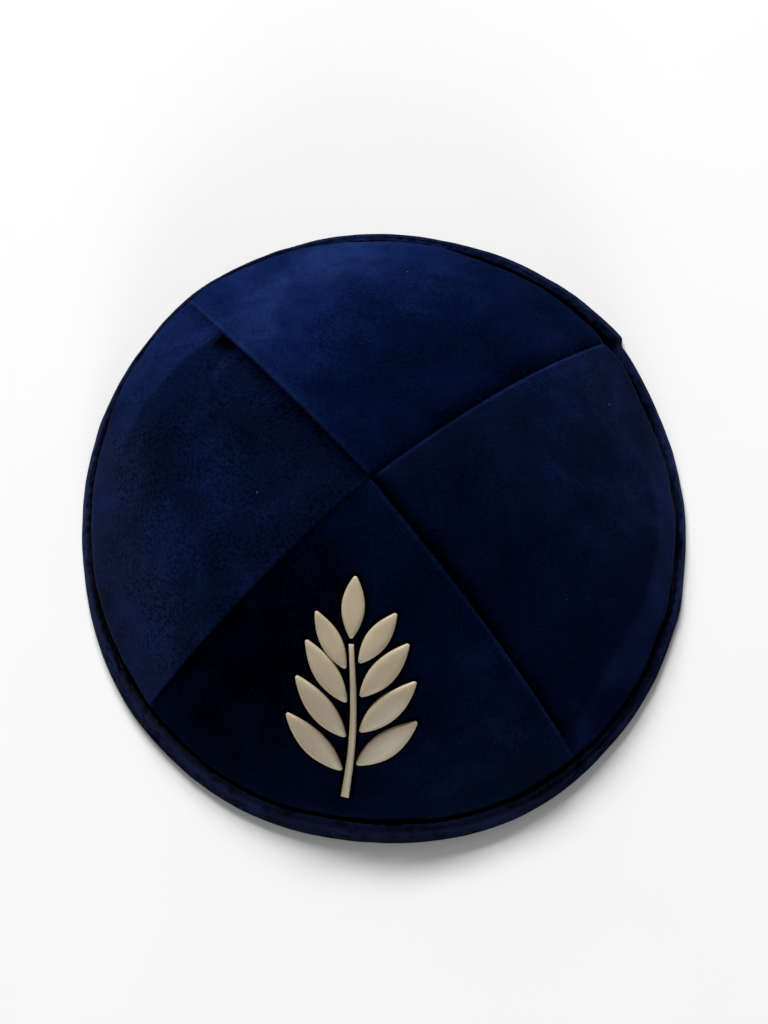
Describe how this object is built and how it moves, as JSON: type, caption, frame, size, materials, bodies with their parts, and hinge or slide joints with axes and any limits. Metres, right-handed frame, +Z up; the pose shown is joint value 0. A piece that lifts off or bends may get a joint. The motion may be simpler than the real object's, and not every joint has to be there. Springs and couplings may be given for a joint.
{
  "type": "kippah skullcap",
  "caption": "Soft velvet skullcap (kippah): a low dome of sewn gores with a folded velvet binding round its rim and a raised leaf sprig on the front gore, resting hollow side down.",
  "frame": {"origin": "middle of the rim's footprint, on the surface the cap rests on", "axes": "+Z up through the crown, -Y towards the front gore with the sprig, +X to the right of someone looking at that front"},
  "size_m": [0.1688, 0.176, 0.0454],
  "materials": {
    "velvet_gores": "short-pile velvet, dark navy",
    "velvet_binding": "short-pile velvet, dark navy, folded over the rim",
    "raised_ornament": "satin cream, soft moulded relief"
  },
  "bodies": {
    "root": {"panel_front": "velvet_gores", "panel_right": "velvet_gores", "panel_back": "velvet_gores", "panel_left": "velvet_gores", "rim_binding": "velvet_binding", "ornament_stem": "raised_ornament", "ornament_leaf_1": "raised_ornament", "ornament_leaf_2": "raised_ornament", "ornament_leaf_3": "raised_ornament", "ornament_leaf_4": "raised_ornament", "ornament_leaf_5": "raised_ornament", "ornament_leaf_6": "raised_ornament", "ornament_leaf_7": "raised_ornament", "ornament_leaf_8": "raised_ornament", "ornament_leaf_9": "raised_ornament"}
  },
  "joints": []
}
